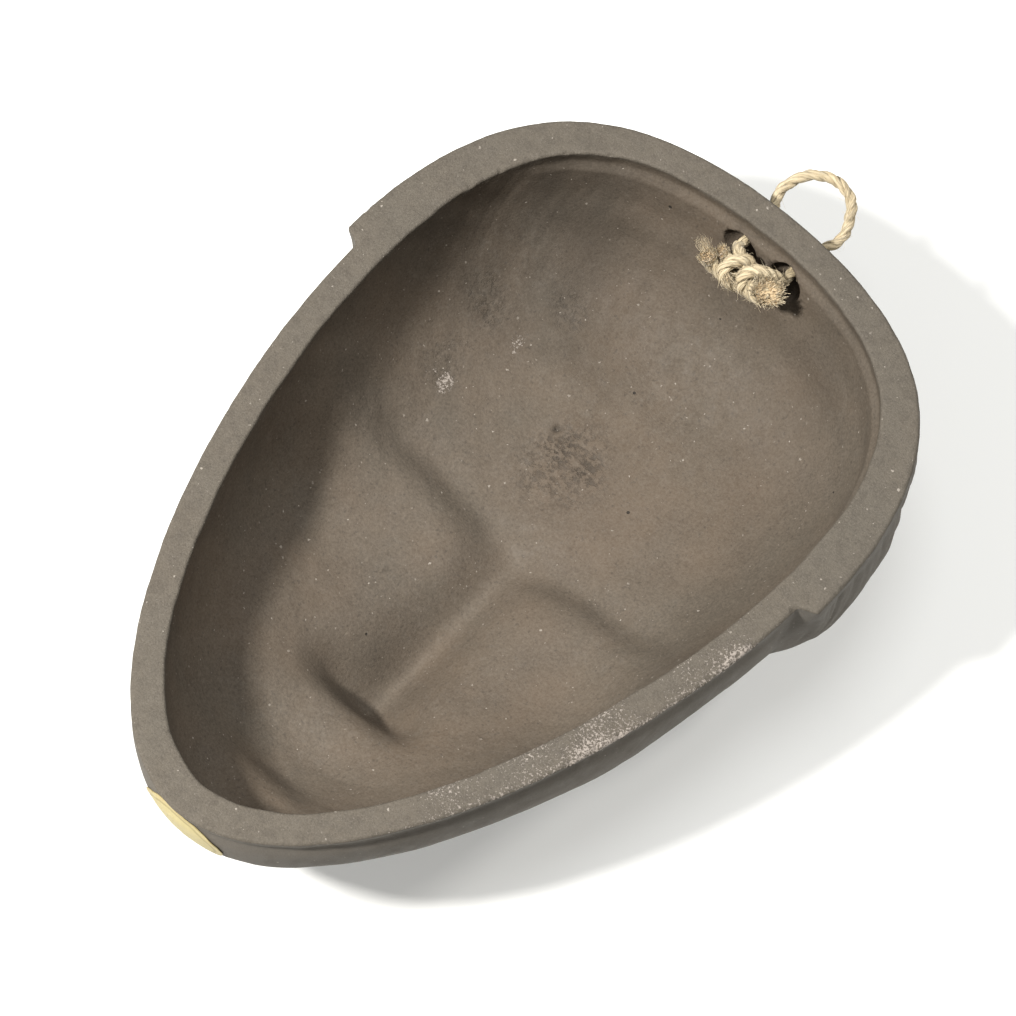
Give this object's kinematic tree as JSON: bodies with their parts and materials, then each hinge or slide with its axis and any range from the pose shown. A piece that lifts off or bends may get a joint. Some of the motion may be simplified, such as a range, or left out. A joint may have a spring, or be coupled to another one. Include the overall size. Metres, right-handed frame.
{
  "type": "hollow cast wall mask",
  "caption": "Hollow cast ceramic wall mask with a flat back rim, lying face down, hung by a twine loop through two holes at the crown.",
  "frame": {"origin": "on the ground under the middle of the mask's outline, as it lies on its face", "axes": "+Z out of the open back, square to the flat rim; +Y to the crown, where the twine loop is; +X to the mask's left cheek"},
  "size_m": [0.1642, 0.2513, 0.069],
  "materials": {
    "ceramic": "matte, unglazed dark brown",
    "paper_label": "matte pale yellow",
    "jute": "matte twisted fibre"
  },
  "bodies": {
    "mask": {"mask_shell": "ceramic", "label": "paper_label"},
    "cord": {"twine_knot": "jute", "twine_leg_left": "jute", "twine_leg_right": "jute", "twine_end_left": "jute", "twine_end_right": "jute"},
    "loop": {"twine_loop": "jute"}
  },
  "joints": [
    {"name": "cord_pull", "type": "slide", "parent": "mask", "child": "cord", "axis": [0, 1, 0], "range_m": [0, 0.0018]},
    {"name": "loop_swing", "type": "hinge", "parent": "cord", "child": "loop", "pos_m": [0.00175, 0.117, 0.06], "axis": [1, 0, 0], "range_deg": [-60, 60]}
  ]
}
